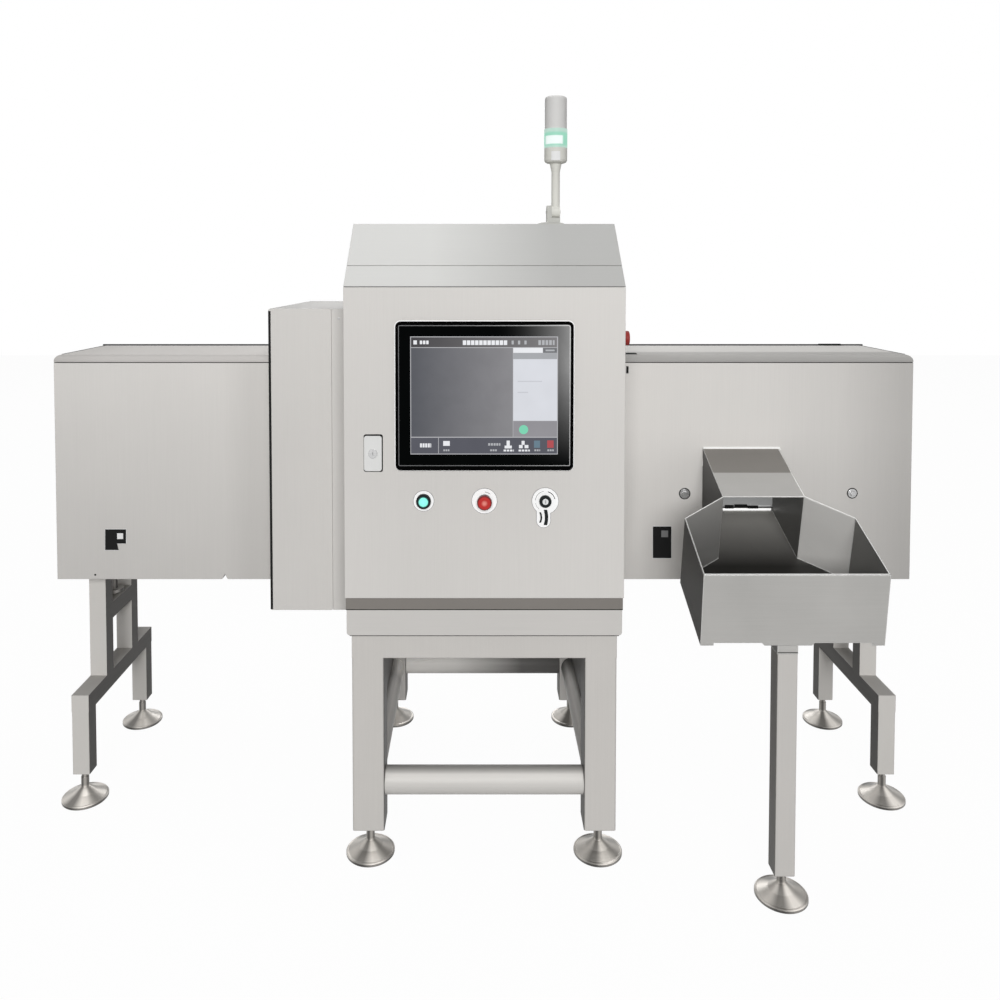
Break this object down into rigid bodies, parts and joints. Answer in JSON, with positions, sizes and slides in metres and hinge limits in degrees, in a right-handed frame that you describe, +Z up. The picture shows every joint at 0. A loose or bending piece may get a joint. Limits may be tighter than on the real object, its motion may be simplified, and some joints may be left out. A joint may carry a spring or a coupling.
{
  "type": "food x-ray inspection machine",
  "caption": "Belt x-ray inspection machine with a tall cabinet, covered conveyor on levelling feet, touch panel, signal tower and a folded reject chute with bin.",
  "frame": {"origin": "on the floor under the middle of the whole machine", "axes": "+X along the belt's travel, +Y from the door to the back, +Z up"},
  "size_m": [2.27, 0.8889, 1.849],
  "materials": {
    "sheet_steel": "fine ground stainless sheet",
    "tube_steel": "ground stainless tube",
    "inner_steel": "mill finish stainless",
    "foot_steel": "turned stainless",
    "black_plastic": "satin black",
    "screen": "glossy panel with a screen picture",
    "white_plastic": "satin white",
    "green_plastic": "translucent green",
    "red_plastic": "glossy red",
    "key_metal": "bright metal and black bows",
    "tower_plastic": "satin warm grey",
    "green_lens": "translucent pale green",
    "grey_lens": "translucent grey",
    "belt": "smooth white belt",
    "rubber": "matt black",
    "roller_metal": "turned",
    "shield_paint": "satin grey-blue",
    "gear_paint": "satin grey",
    "actuator_paint": "satin dark grey"
  },
  "bodies": {
    "machine": {"base_frame": "tube_steel", "base_stretchers": "tube_steel", "base_side_panels": "sheet_steel", "base_tray": "sheet_steel", "cabinet_shell": "sheet_steel", "roof_strip": "sheet_steel", "roof_cover": "sheet_steel", "rear_panel": "sheet_steel", "cable_gland": "black_plastic", "control_gear": "gear_paint", "hinge_posts": "inner_steel", "door_seal": "rubber", "estop_base": "gear_paint", "tower_bracket": "tube_steel", "side_box": "sheet_steel", "side_box_cover": "sheet_steel", "infeed_cover": "sheet_steel", "outfeed_cover": "sheet_steel", "conveyor_frame": "inner_steel", "conveyor_belt": "belt", "guide_rails": "inner_steel", "xray_tunnel": "inner_steel", "xray_source": "shield_paint", "detector": "shield_paint", "reject_actuator": "actuator_paint", "infeed_stand": "tube_steel", "outfeed_stand": "tube_steel", "chute": "sheet_steel", "chute_leg": "tube_steel"},
    "door": {"door_panel": "sheet_steel", "door_hinges": "inner_steel", "lock_plate": "sheet_steel", "hmi_panel": "black_plastic", "hmi_screen": "screen", "legend_discs": "white_plastic", "button_collars": "black_plastic"},
    "lock": {"lock_cylinder": "inner_steel"},
    "green_button": {"green_button": "green_plastic"},
    "red_button": {"red_button": "red_plastic"},
    "key_switch": {"key_switch": "key_metal"},
    "stop_button": {"estop_button": "red_plastic"},
    "tower": {"tower_pole": "tower_plastic", "tower_green_lens": "green_lens", "tower_top_lens": "grey_lens"},
    "infeed_lid": {"infeed_lid": "sheet_steel"},
    "outfeed_lid": {"outfeed_lid": "sheet_steel"},
    "drive_roller": {"drive_roller": "roller_metal"},
    "idler_roller": {"idler_roller": "roller_metal"},
    "infeed_curtain": {"infeed_curtain": "rubber"},
    "outfeed_curtain": {"outfeed_curtain": "rubber"},
    "reject_arm": {"reject_arm": "belt"},
    "base_foot_front_left": {"base_foot_front_left": "foot_steel"},
    "base_foot_front_right": {"base_foot_front_right": "foot_steel"},
    "base_foot_rear_left": {"base_foot_rear_left": "foot_steel"},
    "base_foot_rear_right": {"base_foot_rear_right": "foot_steel"},
    "infeed_foot_front": {"infeed_foot_front": "foot_steel"},
    "infeed_foot_rear": {"infeed_foot_rear": "foot_steel"},
    "outfeed_foot_front": {"outfeed_foot_front": "foot_steel"},
    "outfeed_foot_rear": {"outfeed_foot_rear": "foot_steel"},
    "chute_foot": {"chute_foot": "foot_steel"}
  },
  "joints": [
    {"name": "door_swing", "type": "hinge", "parent": "machine", "child": "door", "pos_m": [0.318, -0.26175, 1], "axis": [0, 0, 1], "range_deg": [0, 110]},
    {"name": "lock_turn", "type": "hinge", "parent": "door", "child": "lock", "pos_m": [-0.258, -0.28075, 0.977], "axis": [0, 1, 0], "range_deg": [0, 90]},
    {"name": "green_push", "type": "slide", "parent": "door", "child": "green_button", "axis": [0, 1, 0], "range_m": [0, 0.004], "stiffness_N_per_m": 500, "springref_m": -0.002},
    {"name": "red_push", "type": "slide", "parent": "door", "child": "red_button", "axis": [0, 1, 0], "range_m": [0, 0.004], "stiffness_N_per_m": 500, "springref_m": -0.002},
    {"name": "key_turn", "type": "hinge", "parent": "door", "child": "key_switch", "pos_m": [0.141, -0.28075, 0.866], "axis": [0, 1, 0], "range_deg": [0, 90]},
    {"name": "stop_push", "type": "slide", "parent": "machine", "child": "stop_button", "axis": [-1, 0, 0], "range_m": [0, 0.004], "stiffness_N_per_m": 800, "springref_m": -0.002},
    {"name": "tower_fold", "type": "hinge", "parent": "machine", "child": "tower", "pos_m": [0.187, -0.01075, 1.552], "axis": [-1, 0, 0], "range_deg": [0, 90]},
    {"name": "infeed_lid_hinge", "type": "hinge", "parent": "machine", "child": "infeed_lid", "pos_m": [-0.834, 0.30325, 1.165], "axis": [-1, 0, 0], "range_deg": [0, 90]},
    {"name": "outfeed_lid_hinge", "type": "hinge", "parent": "machine", "child": "outfeed_lid", "pos_m": [0.73, 0.30325, 1.165], "axis": [-1, 0, 0], "range_deg": [0, 90]},
    {"name": "drive_roller_spin", "type": "hinge", "parent": "machine", "child": "drive_roller", "pos_m": [1.085, 0.20925, 0.7267], "axis": [0, 1, 0], "continuous": true},
    {"name": "idler_roller_spin", "type": "hinge", "parent": "machine", "child": "idler_roller", "pos_m": [-1.085, 0.20925, 0.7267], "axis": [0, 1, 0], "continuous": true},
    {"name": "infeed_curtain_swing", "type": "hinge", "parent": "machine", "child": "infeed_curtain", "pos_m": [-0.513, 0.20925, 0.948], "axis": [0, -1, 0], "range_deg": [-15, 60]},
    {"name": "outfeed_curtain_swing", "type": "hinge", "parent": "machine", "child": "outfeed_curtain", "pos_m": [0.304, 0.20925, 0.948], "axis": [0, -1, 0], "range_deg": [-15, 60]},
    {"name": "reject_arm_swing", "type": "hinge", "parent": "machine", "child": "reject_arm", "pos_m": [0.5, 0.35975, 0.8], "axis": [0, 0, -1], "range_deg": [0, 45]},
    {"name": "base_front_left_level", "type": "slide", "parent": "machine", "child": "base_foot_front_left", "axis": [0, 0, -1], "range_m": [0, 0.025]},
    {"name": "base_front_right_level", "type": "slide", "parent": "machine", "child": "base_foot_front_right", "axis": [0, 0, -1], "range_m": [0, 0.025]},
    {"name": "base_rear_left_level", "type": "slide", "parent": "machine", "child": "base_foot_rear_left", "axis": [0, 0, -1], "range_m": [0, 0.025]},
    {"name": "base_rear_right_level", "type": "slide", "parent": "machine", "child": "base_foot_rear_right", "axis": [0, 0, -1], "range_m": [0, 0.025]},
    {"name": "infeed_front_level", "type": "slide", "parent": "machine", "child": "infeed_foot_front", "axis": [0, 0, -1], "range_m": [0, 0.025]},
    {"name": "infeed_rear_level", "type": "slide", "parent": "machine", "child": "infeed_foot_rear", "axis": [0, 0, -1], "range_m": [0, 0.025]},
    {"name": "outfeed_front_level", "type": "slide", "parent": "machine", "child": "outfeed_foot_front", "axis": [0, 0, -1], "range_m": [0, 0.025]},
    {"name": "outfeed_rear_level", "type": "slide", "parent": "machine", "child": "outfeed_foot_rear", "axis": [0, 0, -1], "range_m": [0, 0.025]},
    {"name": "chute_level", "type": "slide", "parent": "machine", "child": "chute_foot", "axis": [0, 0, -1], "range_m": [0, 0.025]}
  ],
  "couplings": [
    {"joint": "idler_roller_spin", "follows": "drive_roller_spin", "ratio": 1}
  ]
}
